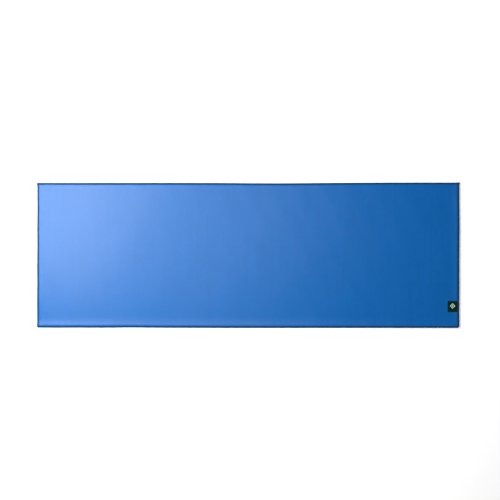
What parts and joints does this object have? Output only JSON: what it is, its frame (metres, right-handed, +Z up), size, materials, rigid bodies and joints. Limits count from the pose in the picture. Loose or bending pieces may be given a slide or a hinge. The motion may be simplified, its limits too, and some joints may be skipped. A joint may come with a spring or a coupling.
{
  "type": "stitched-edge exercise mat",
  "caption": "Flat rectangular exercise mat with a fabric face, a rubber grip base, overlocked edges and a small woven corner label.",
  "frame": {"origin": "on the floor under the middle of the mat", "axes": "+X along the length towards the label's end, +Y across the width towards the edge away from the label, +Z up out of the face"},
  "size_m": [1.784, 0.61, 0.0055],
  "materials": {
    "grip_rubber": "matt natural rubber with a shallow grip pattern",
    "scrim_yarn": "flat undyed polyester yarn",
    "cushion_foam": "closed-cell foam",
    "face_fabric": "smooth blue microfibre with a soft sheen",
    "edge_thread": "fluffy textured overlock thread, darker blue than the face",
    "label_weave": "dense satin-woven label, near-black green with a pale green motif",
    "label_thread": "fine dark green sewing thread"
  },
  "bodies": {
    "root": {"grip_base": "grip_rubber", "scrim_weft": "scrim_yarn", "scrim_warp": "scrim_yarn", "cushion_foam": "cushion_foam", "face_fabric": "face_fabric", "wrap_run_needle_thread": "edge_thread", "wrap_run_upper_looper": "edge_thread", "wrap_run_lower_looper": "edge_thread", "back_run_needle_thread": "edge_thread", "back_run_upper_looper": "edge_thread", "back_run_lower_looper": "edge_thread", "thread_tails": "edge_thread", "woven_label": "label_weave", "label_needle_thread": "label_thread", "label_bobbin_thread": "label_thread"}
  },
  "joints": []
}
